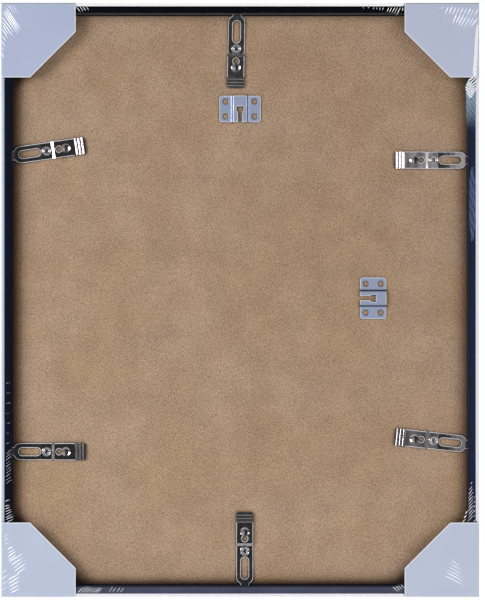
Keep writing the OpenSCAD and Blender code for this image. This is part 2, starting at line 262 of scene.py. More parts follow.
class BoardFinish(bpy.types.PropertyGroup):
    """Colours and marks of the hardboard back, and how far the shade painted into it reaches."""
    ground: bpy.props.FloatVectorProperty(
        name="Ground", description="Main colour of the board", default=linear("#a3886f"), **COLOUR)
    dark: bpy.props.FloatVectorProperty(
        name="Dark fibres", description="Colour of the darkest fibres", default=linear("#6a523e"), **COLOUR)
    pale: bpy.props.FloatVectorProperty(
        name="Pale fibres", description="Colour of the palest fibres", default=linear("#c4ab91"), **COLOUR)
    fibre: bpy.props.FloatProperty(
        name="Fibre", description="Width of the fibres that show", unit="LENGTH", default=0.7 * MM, min=0.1 * MM)
    cloud: bpy.props.FloatProperty(
        name="Cloud", description="Width of the soft blotches", unit="LENGTH", default=28 * MM, min=1 * MM)
    # Reach of the shade painted in the corners, along the rim and under the guards
    corner_shade_reach: bpy.props.FloatProperty(
        name="Dust", description="How far dust reaches out from a corner", unit="LENGTH", default=40 * MM,
        min=1 * MM)
    # Reach of the shade painted round the hardware
    painted_shade: bpy.props.FloatProperty(
        name="Grime", description="How far grime reaches out from what lies on the board", unit="LENGTH",
        default=2.4 * MM, min=0.2 * MM)


class MetalFinish(bpy.types.PropertyGroup):
    """Colours of the plated hardware."""
    nickel: bpy.props.FloatVectorProperty(
        name="Nickel", description="Colour of the clips and rivets", default=linear("#d3ced1"), **COLOUR)
    zinc: bpy.props.FloatVectorProperty(
        name="Zinc", description="Colour of the hangers", default=linear("#b8c4e2"), **COLOUR)
    shine: bpy.props.FloatProperty(
        name="Clip roughness", description="Roughness of the nickel plate", subtype="FACTOR", default=0.14, min=0,
        max=1)


class CardFinish(bpy.types.PropertyGroup):
    """Colours of the folded card guards: one coated card, given as four coats painted at the brightness each corner
    takes in the light.
    """
    top_left: bpy.props.FloatVectorProperty(
        name="Top left", description="Coat of the top left guard", default=linear("#a9b2cb"), **COLOUR)
    top_right: bpy.props.FloatVectorProperty(
        name="Top right", description="Coat of the top right guard", default=linear("#b8bfd5"), **COLOUR)
    bottom_left: bpy.props.FloatVectorProperty(
        name="Bottom left", description="Coat of the bottom left guard", default=linear("#aeb8cc"), **COLOUR)
    bottom_right: bpy.props.FloatVectorProperty(
        name="Bottom right", description="Coat of the bottom right guard", default=linear("#b5bdd0"), **COLOUR)
    # Partly the card's bare core, partly a painted highlight of the cut edge
    core: bpy.props.FloatVectorProperty(
        name="Cut edge", description="Colour of the bare fibres at a cut", default=linear("#f4f5fa"), **COLOUR)
    cut: bpy.props.FloatProperty(
        name="Cut width", description="Width of the bare edge round a guard", unit="LENGTH", default=0.5 * MM,
        min=0.1 * MM)


class FilmSizes(bpy.types.PropertyGroup):
    """Sizes of the shrink film."""
    gap: bpy.props.FloatProperty(
        name="Gap", description="How far the film stands off what it wraps", unit="LENGTH", default=0.15 * MM,
        min=0.05 * MM)
    thickness: bpy.props.FloatProperty(
        name="Thickness", description="Thickness of the film", unit="LENGTH", default=0.05 * MM, min=0.02 * MM)
    fold: bpy.props.FloatProperty(
        name="Fold radius", description="Radius of the film round an edge", unit="LENGTH", default=0.9 * MM,
        min=0.2 * MM)
    crease: bpy.props.FloatProperty(
        name="Crease width", description="Width of a drawn crease", unit="LENGTH", default=0.65 * MM, min=0.2 * MM)


class StageSettings(bpy.types.PropertyGroup):
    """The camera and the studio."""
    distance: bpy.props.FloatProperty(
        name="Camera distance", description="From the camera to the guards", unit="LENGTH", default=1.75, min=0.5)
    aside: bpy.props.FloatProperty(
        name="Camera to the left", description="How far the camera stands left of the middle", unit="LENGTH",
        default=0.024)
    above: bpy.props.FloatProperty(
        name="Camera above", description="How far the camera stands above the middle", unit="LENGTH", default=0.012)
    view_height: bpy.props.FloatProperty(
        name="View height", description="Height of the picture at the guards", unit="LENGTH", default=533.8 * MM)
    view_right: bpy.props.FloatProperty(
        name="View to the right", description="How far the picture's middle lies right of the frame's",
        unit="LENGTH", default=2.1 * MM)
    drop: bpy.props.FloatProperty(
        name="Floor drop",
        description="How far the floor lies below the frame, so that the lower guards can be pulled off above it",
        unit="LENGTH", default=90 * MM, min=0)
    key: bpy.props.FloatProperty(
        name="Key light", description="Power of the light on the left, in watts", default=22.0, min=0)
    fill: bpy.props.FloatProperty(
        name="Fill light", description="Power of the light at the lower right, in watts", default=6.4, min=0)
    side_left: bpy.props.FloatProperty(
        name="Left surroundings", description="Brightness of the surroundings on the left", default=0.4, min=0)
    side_right: bpy.props.FloatProperty(
        name="Right surroundings", description="Brightness of the surroundings on the right", default=0.64, min=0)
    dim: bpy.props.FloatProperty(
        name="Dim surroundings", description="Brightness in front of the frame's back", default=0.03, min=0)
    screen: bpy.props.FloatProperty(
        name="Grey screen", description="Brightness of the screen to the right of the dim part", default=0.34, min=0)


def distances_in(tree, place, half_x, half_z):
    """Nodes for how far a place lies in from a rectangle round the frame's middle.

    Gives the place's axes, its height over the middle, and how far in it is from the sides, the ends and the nearest.
    """
    axes = add_node(tree, "SeparateXYZ", {"Vector": place})
    raised = add_node(tree, "Math", {0: axes.outputs["Z"], 1: MIDDLE_Z}, operation="SUBTRACT")
    across = add_node(tree, "Math", {0: axes.outputs["X"]}, operation="ABSOLUTE")
    upright = add_node(tree, "Math", {0: raised}, operation="ABSOLUTE")
    from_side = add_node(tree, "Math", {0: half_x, 1: across}, operation="SUBTRACT")
    from_end = add_node(tree, "Math", {0: half_z, 1: upright}, operation="SUBTRACT")
    nearest = add_node(tree, "Math", {0: from_side, 1: from_end}, operation="MINIMUM")
    return axes, raised, from_side, from_end, nearest


def painted_wood(name, colour, wall, grain, shine, run):
    """Satin paint on a wooden moulding.

    Sprayed thinly, so the wood's grain shows as fine lines in the shine. A painted shade turns the back black along the
    rabbet's edge, in a band of its own width on each length, and the rabbet's wall takes a painted tone for how each
    length's wall is lit. Under the film each length's back takes a painted reflection, a tint of its own; the front
    half is plain black.
    """
    made, tree = new_material(name)
    place = add_node(tree, "TexCoord").outputs["Object"]
    axes, *_, inwards = distances_in(tree, place, RIM_HIGH.x, RIM_HIGH.z - MIDDLE_Z)
    # Painted shade: the back turns black from here to the rabbet's edge
    thick = add_node(tree, "MapRange", {"Value": inwards, "From Min": run * MM, "From Max": (run + 0.5) * MM})
    lines = add_node(tree, "TexNoise", {"Vector": place, "Scale": 1 / grain, "Detail": 3.0, "Roughness": 0.6})
    soft = add_node(tree, "TexNoise", {"Vector": place, "Scale": 1 / (30 * MM), "Detail": 1.0})
    tone = add_node(tree, "Mix", {"Factor": soft, "A": colour, "B": scaled(colour, 0.62)}, data_type="RGBA")
    coat = add_node(tree, "Mix", {"Factor": thick, "A": tone, "B": linear("#04040a")}, data_type="RGBA")
    # Painted light and shade on the rabbet's wall, a tone given for each length
    on_wall = add_node(tree, "MapRange", {"Value": inwards, "From Min": WALL_IN - 0.1 * MM, "From Max": WALL_IN})
    shaded_wall = add_node(tree, "Mix", {"Factor": on_wall, "A": coat, "B": wall}, data_type="RGBA")
    front = add_node(tree, "MapRange", {
        "Value": axes.outputs["Y"], "From Min": BOARD_Y + 0.5 * MM, "From Max": BOARD_Y + 1.5 * MM,
    })
    whole = add_node(tree, "Mix", {"Factor": front, "A": shaded_wall, "B": linear("#0b0b0e")}, data_type="RGBA")
    gloss = add_node(tree, "MapRange", {"Value": front, "To Min": shine, "To Max": 0.45})
    rough = add_node(tree, "MapRange", {"Value": lines, "To Min": 0.3, "To Max": 0.46})
    bump = add_node(tree, "Bump", {"Height": lines, "Strength": 0.12, "Distance": 0.05 * MM})
    paint = add_node(tree, "BsdfPrincipled", {
        "Base Color": whole, "Roughness": rough, "IOR": 1.5, "Specular IOR Level": gloss, "Normal": bump,
    })
    add_node(tree, "OutputMaterial", {"Surface": paint})
    return made


def hardboard(finish):
    """Wet-pressed hardboard: brown fibres matted together.

    Seen as a fine speckle of dark and pale fibres over soft clouds, with a few dark bark specks and a matt sheen.
    Shade is painted into its colour in the corners, along the rim, under the guards and round the hardware.
    """
    made, tree = new_material("hardboard")
    place = add_node(tree, "TexCoord").outputs["Object"]
    # Three layers of fibres, two of them drawn out in crossing directions
    mat = add_node(tree, "TexNoise", {
        "Vector": place, "Scale": 1 / finish.fibre, "Detail": 4.0, "Roughness": 0.62, "Distortion": 0.5,
    })
    layers = []
    for turn in (0.6, -0.75):
        turned = add_node(tree, "Mapping", {"Vector": place, "Rotation": (0, turn, 0), "Scale": (1.0, 1.0, 0.5)})
        layers.append(add_node(tree, "TexNoise", {
            "Vector": turned, "Scale": 1 / finish.fibre, "Detail": 2.0, "Roughness": 0.5,
        }))
    crossed = add_node(tree, "Math", {0: layers[0], 1: layers[1]}, operation="ADD")
    half = add_node(tree, "Math", {0: crossed, 1: 0.5}, operation="MULTIPLY")
    fibres = add_node(tree, "Mix", {"Factor": 0.55, "A": mat, "B": half}, data_type="FLOAT")
    spread = add_node(tree, "MapRange", {"Value": fibres, "From Min": 0.375, "From Max": 0.625})
    ground = add_node(tree, "ValToRGB", {"Fac": spread})
    ground.color_ramp.elements[0].color = finish.dark
    ground.color_ramp.elements[1].color = finish.pale
    ground.color_ramp.elements.new(0.5).color = finish.ground
    cloud = add_node(tree, "TexNoise", {"Vector": place, "Scale": 1 / finish.cloud, "Detail": 3.0, "Roughness": 0.55})
    shade = add_node(tree, "MapRange", {
        "Value": cloud, "From Min": 0.3, "From Max": 0.7, "To Min": 0.88, "To Max": 1.07,
    })
    shaded = add_node(tree, "VectorMath", {0: ground, "Scale": shade}, operation="SCALE")
    # Wide patches where the steam has turned it redder or greyer
    patch = add_node(tree, "TexNoise", {
        "Vector": place, "Scale": 1 / (2.2 * finish.cloud), "Detail": 2.0, "Roughness": 0.6, "W": 3.0,
    }, noise_dimensions="4D")
    turned_red = add_node(tree, "MapRange", {
        "Value": patch, "From Min": 0.38, "From Max": 0.62,
    }, interpolation_type="SMOOTHSTEP")
    cast = add_node(tree, "Mix", {
        "Factor": turned_red, "A": (1.0, 1.0, 1.03, 1.0), "B": (0.97, 0.93, 0.87, 1.0),
    }, data_type="RGBA")
    clouded = add_node(tree, "VectorMath", {0: shaded, 1: cast}, operation="MULTIPLY")
    # Bark specks: the middle of one cell in five, about 1 mm wide
    cells = add_node(tree, "TexVoronoi", {"Vector": place, "Scale": 1 / (7 * MM), "Randomness": 1.0})
    core = add_node(tree, "MapRange", {
        "Value": cells, "From Min": 0.05, "From Max": 0.11, "To Min": 1.0, "To Max": 0.0,
    })
    kept = add_node(tree, "SeparateColor", {"Color": cells.outputs["Color"]})
    some = add_node(tree, "Math", {0: kept.outputs["Red"], 1: 0.8}, operation="GREATER_THAN")
    specks = add_node(tree, "Math", {0: core, 1: some}, operation="MULTIPLY")
    speck_share = add_node(tree, "Math", {0: specks, 1: 0.6}, operation="MULTIPLY")
    speckled = add_node(tree, "Mix", {"Factor": speck_share, "A": clouded, "B": linear("#4a3524")}, data_type="RGBA")
    ring_at = add_node(tree, "VectorMath", {0: place, 1: RING_AT}, operation="DISTANCE")
    ring_off = add_node(tree, "Math", {0: ring_at, 1: RING_RADIUS}, operation="SUBTRACT")
    ring_far = add_node(tree, "Math", {0: ring_off}, operation="ABSOLUTE")
    ring = add_node(tree, "MapRange", {
        "Value": ring_far, "From Min": 0.2 * MM, "From Max": 0.9 * MM, "To Min": 0.5, "To Max": 0.0,
    })
    marked = add_node(tree, "Mix", {"Factor": ring, "A": speckled, "B": finish.dark}, data_type="RGBA")
    height = add_node(tree, "Math", {0: spread, 1: ring}, operation="SUBTRACT")
    bump = add_node(tree, "Bump", {"Height": height, "Strength": 0.35, "Distance": 0.15 * MM})
    # Painted shade: a long ambient-occlusion lookup darkens the colour in the corners, along the rim and under the
    # guards, and a short one darkens it close round the hardware
    open_sky = add_node(tree, "AmbientOcclusion", {"Distance": finish.corner_shade_reach}, samples=8)
    shade_ramp = add_node(tree, "ValToRGB", {"Fac": open_sky.outputs["AO"]})
    ramp = shade_ramp.color_ramp
    ramp.elements[0].position, ramp.elements[0].color = 0.42, (0.07, 0.05, 0.04, 1.0)
    ramp.elements[1].position, ramp.elements[1].color = 0.82, WHITE
    for openness, red, green, blue in (
        (0.5, 0.32, 0.25, 0.2), (0.56, 0.62, 0.54, 0.48), (0.64, 0.87, 0.83, 0.8), (0.73, 0.96, 0.94, 0.92),
    ):
        ramp.elements.new(openness).color = (red, green, blue, 1.0)
    # The painted shade is darkest near the rim, on the left and at the bottom, and weakest at the top, following how
    # the studio's light falls
    axes, raised, *_, inwards = distances_in(tree, place, RIM_HIGH.x, RIM_HIGH.z - MIDDLE_Z)
    by_edge = add_node(tree, "MapRange", {
        "Value": inwards, "From Min": 15 * MM, "From Max": 30 * MM, "To Min": 1.0, "To Max": 0.0,
    }, interpolation_type="SMOOTHSTEP")
    by_left = add_node(tree, "MapRange", {
        "Value": axes.outputs["X"], "From Min": -190 * MM, "From Max": -160 * MM, "To Min": 1.0, "To Max": 0.72,
    })
    by_low = add_node(tree, "MapRange", {
        "Value": raised, "From Min": -250 * MM, "From Max": -200 * MM, "To Min": 1.35, "To Max": 1.0,
    })
    by_high = add_node(tree, "MapRange", {
        "Value": raised, "From Min": 200 * MM, "From Max": 250 * MM, "To Min": 1.0, "To Max": 0.5,
    })
    by_end = add_node(tree, "Math", {0: by_low, 1: by_high}, operation="MULTIPLY")
    by_side = add_node(tree, "Math", {0: by_left, 1: by_end}, operation="MULTIPLY")
    share = add_node(tree, "Math", {0: by_edge, 1: by_side}, operation="MULTIPLY")
    rim_shade = add_node(tree, "Mix", {"Factor": share, "A": WHITE, "B": shade_ramp}, data_type="RGBA")
    close_sky = add_node(tree, "AmbientOcclusion", {"Distance": finish.painted_shade}, samples=8)
    hardware_shade = add_node(tree, "MapRange", {
        "Value": close_sky.outputs["AO"], "From Min": 0.5, "From Max": 0.95, "To Min": 0.2, "To Max": 1.0,
    })
    darkened_by_rim = add_node(tree, "VectorMath", {0: marked, 1: rim_shade}, operation="MULTIPLY")
    shaded_board = add_node(tree, "VectorMath", {0: darkened_by_rim, "Scale": hardware_shade}, operation="SCALE")
    board = add_node(tree, "BsdfPrincipled", {
        "Base Color": shaded_board, "Roughness": 0.72, "IOR": 1.45, "Specular IOR Level": 0.3, "Normal": bump,
    })
    add_node(tree, "OutputMaterial", {"Surface": board})
    return made


def plated_steel(name, colour, roughness, wave, wave_depth, scratch, body=1.0, highlight_share=0.6, painted_shade=0.0, highlight_reach=1.0):
    """Bright plating on stamped steel strip.

    The strip isn't flat to the eye: slow waves bend its reflections, and fine rolling lines blur them. A painted
    highlight, a white matt coat, is mixed in along its edges on the flat faces as far in as highlight_reach, and a
    painted shade darkens the steep parts of its presses.
    """
    made, tree = new_material(name)
    place = add_node(tree, "TexCoord").outputs["Object"]
    slow = add_node(tree, "TexNoise", {"Vector": place, "Scale": 1 / wave, "Detail": 1.0})
    fine = add_node(tree, "TexNoise", {"Vector": place, "Scale": 1 / scratch, "Detail": 3.0, "Roughness": 0.7})
    rough = add_node(tree, "MapRange", {
        "Value": fine, "From Min": 0.3, "From Max": 0.7, "To Min": roughness * 0.75, "To Max": roughness * 1.35,
    })
    tone = add_node(tree, "Mix", {"Factor": fine, "A": colour, "B": scaled(colour, 0.82)}, data_type="RGBA")
    # Painted highlight: a white matt coat is mixed in near the edges, where a rounded shading normal turns away from
    # the face's own
    edge = add_node(tree, "Bevel", {"Radius": 1.1 * MM}, samples=8)
    face = add_node(tree, "NewGeometry")
    agree = add_node(tree, "VectorMath", {0: edge, 1: face.outputs["Normal"]}, operation="DOT_PRODUCT")
    near_edge = add_node(tree, "MapRange", {
        "Value": agree, "From Min": 0.985, "From Max": 0.92, "To Min": 0.0, "To Max": highlight_share,
    })
    bent = add_node(tree, "Bump", {"Height": slow, "Strength": 1.0, "Distance": wave_depth})
    slope = add_node(tree, "SeparateXYZ", {"Vector": face.outputs["Normal"]})
    flat = add_node(tree, "Math", {0: slope.outputs["Y"]}, operation="ABSOLUTE")
    on_flat = add_node(tree, "Math", {0: flat, 1: 0.97}, operation="GREATER_THAN")
    *_, inwards = distances_in(tree, place, RIM_HIGH.x, RIM_HIGH.z - MIDDLE_Z)
    before_tail = add_node(tree, "Math", {0: inwards, 1: highlight_reach}, operation="LESS_THAN")
    sharp = add_node(tree, "Math", {0: on_flat, 1: before_tail}, operation="MULTIPLY")
    highlight_mask = add_node(tree, "Math", {0: near_edge, 1: sharp}, operation="MULTIPLY")
    # Painted shade on the steep faces of the presses
    steep_shade = add_node(tree, "MapRange", {
        "Value": flat, "From Min": 0.92, "From Max": 0.84, "To Min": 0.0, "To Max": painted_shade,
    })
    steep_shaded_tone = add_node(tree, "Mix", {"Factor": steep_shade, "A": tone, "B": linear("#161c2a")}, data_type="RGBA")
    metal = add_node(tree, "BsdfPrincipled", {
        "Base Color": steep_shaded_tone, "Metallic": body, "Roughness": rough, "Normal": bent,
    })
    highlight_coat = add_node(tree, "BsdfDiffuse", {"Color": linear("#f3f4f8"), "Roughness": 0.3})
    both = add_node(tree, "MixShader", {0: highlight_mask, 1: metal, 2: highlight_coat})
    add_node(tree, "OutputMaterial", {"Surface": both})
    return made


def galvanised_steel():
    """Galvanised steel: a dull grey coat with a mottled spangle, as on nails."""
    made, tree = new_material("galvanised_steel")
    place = add_node(tree, "TexCoord").outputs["Object"]
    spangle = add_node(tree, "TexVoronoi", {"Vector": place, "Scale": 1 / (1.5 * MM)})
    grey = add_node(tree, "SeparateColor", {"Color": spangle.outputs["Color"]})
    tone = add_node(tree, "Mix", {
        "Factor": grey.outputs["Red"], "A": linear("#83878d"), "B": linear("#a3a7ad"),
    }, data_type="RGBA")
    metal = add_node(tree, "BsdfPrincipled", {"Base Color": tone, "Metallic": 0.9, "Roughness": 0.5})
    add_node(tree, "OutputMaterial", {"Surface": metal})
    return made


def coated_card(name, colour, finish):
    """Folded box card: clay-coated and calendered, so smooth with a faint sheen.

    A pale band on the face round the cut edge is partly the bare white core that the knife leaves and partly a painted
    highlight of the cut edge.
    The coat is paler close to its folds, and a painted shade greys it along the top edge.
    """
    made, tree = new_material(name)
    place = add_node(tree, "TexCoord").outputs["Object"]
    # Distances in from the outer corner, the same for all four guards
    _, raised, from_side, from_end, to_fold = distances_in(tree, place, HALF_X, HALF_Z)
    both = add_node(tree, "Math", {0: from_side, 1: from_end}, operation="ADD")
    to_leg_1 = add_node(tree, "Math", {0: GUARD_LEG, 1: from_side}, operation="SUBTRACT")
    to_leg_2 = add_node(tree, "Math", {0: GUARD_LEG, 1: from_end}, operation="SUBTRACT")
    to_slant = add_node(tree, "Math", {0: GUARD_LEG + GUARD_END, 1: both}, operation="SUBTRACT")
    to_slant_true = add_node(tree, "Math", {0: to_slant, 1: math.sqrt(0.5)}, operation="MULTIPLY")
    nearer = add_node(tree, "Math", {0: to_leg_1, 1: to_leg_2}, operation="MINIMUM")
    to_cut = add_node(tree, "Math", {0: nearer, 1: to_slant_true}, operation="MINIMUM")
    # Partly the bare core, partly a painted highlight: a pale band on the face along the cut
    bare = add_node(tree, "MapRange", {
        "Value": to_cut, "From Min": finish.cut * 0.6, "From Max": finish.cut * 1.2, "To Min": 1.0, "To Max": 0.0,
    })
    folded = add_node(tree, "MapRange", {
        "Value": to_fold, "From Min": 0.6 * MM, "From Max": 1.6 * MM, "To Min": 0.12, "To Max": 0.0,
    })
    paled = add_node(tree, "Math", {0: bare, 1: folded}, operation="MAXIMUM")
    pulp = add_node(tree, "TexNoise", {"Vector": place, "Scale": 1 / (0.9 * MM), "Detail": 3.0, "Roughness": 0.6})
    cast = add_node(tree, "TexNoise", {"Vector": place, "Scale": 1 / (40 * MM), "Detail": 1.0})
    coat = add_node(tree, "Mix", {"Factor": cast, "A": colour, "B": scaled(colour, 0.93)}, data_type="RGBA")
    flecked = add_node(tree, "MapRange", {
        "Value": pulp, "From Min": 0.3, "From Max": 0.7, "To Min": 0.975, "To Max": 1.02,
    })
    toned = add_node(tree, "VectorMath", {0: coat, "Scale": flecked}, operation="SCALE")
    light = add_node(tree, "Mix", {"Factor": paled, "A": toned, "B": finish.core}, data_type="RGBA")
    # Painted shade along the top edge
    to_top = add_node(tree, "Math", {0: HALF_Z, 1: raised}, operation="SUBTRACT")
    top_shade = add_node(tree, "MapRange", {
        "Value": to_top, "From Min": 0.7 * MM, "From Max": 1.3 * MM, "To Min": 0.5, "To Max": 0.0,
    })
    final = add_node(tree, "Mix", {"Factor": top_shade, "A": light, "B": linear("#7e7f8a")}, data_type="RGBA")
    bump = add_node(tree, "Bump", {"Height": pulp, "Strength": 0.12, "Distance": 0.05 * MM})
    card = add_node(tree, "BsdfPrincipled", {
        "Base Color": final, "Roughness": 0.5, "IOR": 1.48, "Specular IOR Level": 0.35, "Normal": bump,
    })
    add_node(tree, "OutputMaterial", {"Surface": card})
    return made


def cartridge_paper():
    """Uncoated cartridge paper: an even warm white with a faint cloud of pulp, quite matt."""
    made, tree = new_material("cartridge_paper")
    place = add_node(tree, "TexCoord").outputs["Object"]
    pulp = add_node(tree, "TexNoise", {"Vector": place, "Scale": 1 / (2.5 * MM), "Detail": 4.0, "Roughness": 0.6})
    tone = add_node(tree, "Mix", {"Factor": pulp, "A": linear("#f4f2ec"), "B": linear("#ebe8e0")}, data_type="RGBA")
    bump = add_node(tree, "Bump", {"Height": pulp, "Strength": 0.1, "Distance": 0.05 * MM})
    sheet = add_node(tree, "BsdfPrincipled", {
        "Base Color": tone, "Roughness": 0.85, "IOR": 1.45, "Specular IOR Level": 0.2, "Normal": bump,
    })
    add_node(tree, "OutputMaterial", {"Surface": sheet})
    return made


def float_glass():
    """Float glass pane: clear with a faint green cast, and a sharp shine."""
    made, tree = new_material("float_glass")
    place = add_node(tree, "TexCoord").outputs["Object"]
    roll = add_node(tree, "TexNoise", {"Vector": place, "Scale": 1 / (90 * MM), "Detail": 1.0})
    tone = add_node(tree, "Mix", {"Factor": roll, "A": linear("#d6e6e0"), "B": linear("#e2efea")}, data_type="RGBA")
    pane = add_node(tree, "BsdfPrincipled", {"Base Color": tone, "Roughness": 0.03, "IOR": 1.52, "Alpha": 0.14})
    add_node(tree, "OutputMaterial", {"Surface": pane})
    return made


def shrink_film(name, code, alpha, roughness, ripple, depth, painted_glint=0.0):
    """Polyolefin shrink film: thin, clear and glossy.

    Heat has drawn it tight, so that it ripples where it bridges from guard to guard, and it turns milky where it is
    gathered or stretched; the gathered film along each side takes a painted tone for how that side is lit. A crease is
    given an emission, a painted glint that glows whichever way it is seen.
    """
    made, tree = new_material(name)
    place = add_node(tree, "TexCoord").outputs["Object"]
    waves = add_node(tree, "TexNoise", {
        "Vector": place, "Scale": 1 / ripple, "Detail": 2.0, "Roughness": 0.5, "Distortion": 0.8,
    })
    light = linear(code)
    tone = add_node(tree, "Mix", {"Factor": waves, "A": light, "B": scaled(light, 1.15)}, data_type="RGBA")
    bump = add_node(tree, "Bump", {"Height": waves, "Strength": 0.6, "Distance": depth})
    film = add_node(tree, "BsdfPrincipled", {
        "Base Color": tone, "Roughness": roughness, "IOR": 1.5, "Alpha": alpha, "Normal": bump,
        "Emission Color": WHITE, "Emission Strength": painted_glint,
    })
    add_node(tree, "OutputMaterial", {"Surface": film})
    return made


def streaked_film(name, pale, dark, gap, lean, thin, thick, fade=None):
    """Shrink film gathered into fine pleats: pale streaks on darker film, thicker and so less clear along them; the
    pale and dark colours are painted highlights and reflections of the pleats.

    It may fade out between two heights, where the film lies flat again.
    """
    made, tree = new_material(name)
    place = add_node(tree, "TexCoord").outputs["Object"]
    turned = add_node(tree, "Mapping", {"Vector": place, "Rotation": (0, lean, 0)})
    # At scale 1 the waves repeat after pi / 10 of a metre
    pleats = add_node(tree, "TexWave", {
        "Vector": turned, "Scale": math.pi / 10 / gap, "Distortion": 3.0, "Detail": 2.0, "Detail Scale": 2.0,
    })
    streak = add_node(tree, "MapRange", {"Value": pleats.outputs["Fac"], "From Min": 0.25, "From Max": 0.75})
    tone = add_node(tree, "Mix", {"Factor": streak, "A": linear(dark), "B": linear(pale)}, data_type="RGBA")
    clear = add_node(tree, "MapRange", {"Value": streak, "To Min": thin, "To Max": thick})
    if fade:
        height = add_node(tree, "SeparateXYZ", {"Vector": place}).outputs["Z"]
        going = add_node(tree, "MapRange", {
            "Value": height, "From Min": fade[1], "From Max": fade[0],
        }, interpolation_type="SMOOTHSTEP")
        clear = add_node(tree, "Math", {0: clear, 1: going}, operation="MULTIPLY")
    bump = add_node(tree, "Bump", {"Height": streak, "Strength": 0.5, "Distance": 0.1 * MM})
    film = add_node(tree, "BsdfPrincipled", {
        "Base Color": tone, "Roughness": 0.25, "IOR": 1.5, "Alpha": clear, "Normal": bump,
    })
    add_node(tree, "OutputMaterial", {"Surface": film})
    return made


class FRAME_OT_finish_moulding(bpy.types.Operator):
    """Paints the four lengths of moulding and galvanises the V nails in their mitres"""
    bl_idname = "picture_frame.finish_moulding"
    bl_label = "Finish the moulding"

    def execute(self, context):
        colours = context.scene.frame_moulding
        for name in LENGTHS:
            side = name.split("_")[1]
            # Each length takes a painted reflection as its colour, and painted light and shade on its wall and along
            # its rabbet's edge
            shine = 0.02 if side == "top" else 0.1
            wall, run = WALLS[side]
            paint = painted_wood("satin_paint_" + side, getattr(colours, side), linear(wall), colours.grain, shine, run)
            dress(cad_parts[name], paint)
        dress(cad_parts["corner_v_nails"], galvanised_steel())
        return {"FINISHED"}


class FRAME_OT_finish_sheets(bpy.types.Operator):
    """Finishes the hardboard, the blank sheet and the pane"""
    bl_idname = "picture_frame.finish_sheets"
    bl_label = "Finish the sheets"

    def execute(self, context):
        dress(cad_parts["backing_board"], hardboard(context.scene.frame_board))
        dress(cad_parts["insert_sheet"], cartridge_paper())
        dress(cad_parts["glazing"], float_glass())
        return {"FINISHED"}


class FRAME_OT_finish_hardware(bpy.types.Operator):
    """Plates the hangers with zinc, and the clips and rivets with nickel"""
    bl_idname = "picture_frame.finish_hardware"
    bl_label = "Finish the hardware"

    def execute(self, context):
        metal = context.scene.frame_metal
        # Every plate takes a painted white highlight along its edges, and the zinc also takes a painted shade on the
        # steep parts of its presses
        zinc = plated_steel(
            "zinc_plated_steel", metal.zinc, 0.4, 9 * MM, 0.04 * MM, 0.9 * MM, body=0.6, highlight_share=1.0, painted_shade=0.9)
        nickel = plated_steel(
            "nickel_plated_strip", metal.nickel, metal.shine, 14 * MM, 0.3 * MM, 0.8 * MM, highlight_share=1.0,
            highlight_reach=TAIL_IN)
        rivet = plated_steel("nickel_plated_rivet", metal.nickel, 0.12, 3 * MM, 0.02 * MM, 0.7 * MM)
        for name in HANGERS:
            dress(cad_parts[name], zinc)
        for name in CLIPS:
            dress(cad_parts[name], nickel)
        dress(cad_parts["clip_rivets"], rivet)
        return {"FINISHED"}


class FRAME_OT_finish_guards(bpy.types.Operator):
    """Finishes the four folded card guards"""
    bl_idname = "picture_frame.finish_guards"
    bl_label = "Finish the guards"

    def execute(self, context):
        finish = context.scene.frame_card
        for corner in CORNERS:
            # Each guard's coat is painted at the brightness its corner takes in the light
            card = coated_card("coated_card_" + corner, getattr(finish, corner), finish)
            dress(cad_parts["corner_guard_" + corner], card)
        return {"FINISHED"}


def corner_point(corner, a, b, y):
    """A point that lies a mm in from a corner's upright side, b mm in from its level side, at depth y."""
    x = (HALF_X - a * MM) * (-1 if "left" in corner else 1)
    z = MIDDLE_Z + (HALF_Z - b * MM) * (1 if "top" in corner else -1)
    return Vector((x, y, z))


def film_corner(corner, film):
    """Film skin over a guard: a box round it, opened inwards, cut along the guard's slant and rounded at the folds."""
    sx = -1 if "left" in corner else 1
    sz = 1 if "top" in corner else -1
    y_back, y_front = CAD_LOW.y - film.gap, CAD_HIGH.y + film.gap
    leg = GUARD_LEG + film.gap
    low = corner_point(corner, 0, 0, y_back) + Vector((sx * film.gap, 0, sz * film.gap))
    centre = Vector((low.x - sx * leg / 2, (y_back + y_front) / 2, low.z - sz * leg / 2))
    put_down()
    bpy.ops.mesh.primitive_cube_add(size=1, location=centre, scale=(leg, y_front - y_back, leg))
    obj = named("film_over_guard_" + corner)
    settle(obj)
    edit(obj)
    pick(obj, "faces", lambda f: f.normal.x * sx < -0.9 or f.normal.z * sz < -0.9)
    bpy.ops.mesh.delete(type="FACE")
    bpy.ops.mesh.select_all(action="SELECT")
    slant = corner_point(corner, GUARD_LEG / MM, GUARD_END / MM, 0)
    bpy.ops.mesh.bisect(plane_co=slant, plane_no=Vector((-sx, 0, -sz)).normalized(), clear_outer=True)
    pick(obj, "edges", lambda e: not e.is_boundary and (near(middle(e).x, low.x) or near(middle(e).z, low.z)))
    bpy.ops.mesh.bevel(offset=film.fold, segments=3, affect="EDGES")
    bpy.ops.mesh.select_all(action="SELECT")
    bpy.ops.mesh.remove_doubles(threshold=0.000001)
    put_down()
    apply_modifier(obj, "SOLIDIFY", thickness=film.thickness, offset=-1.0)
    smooth(obj)
    return obj


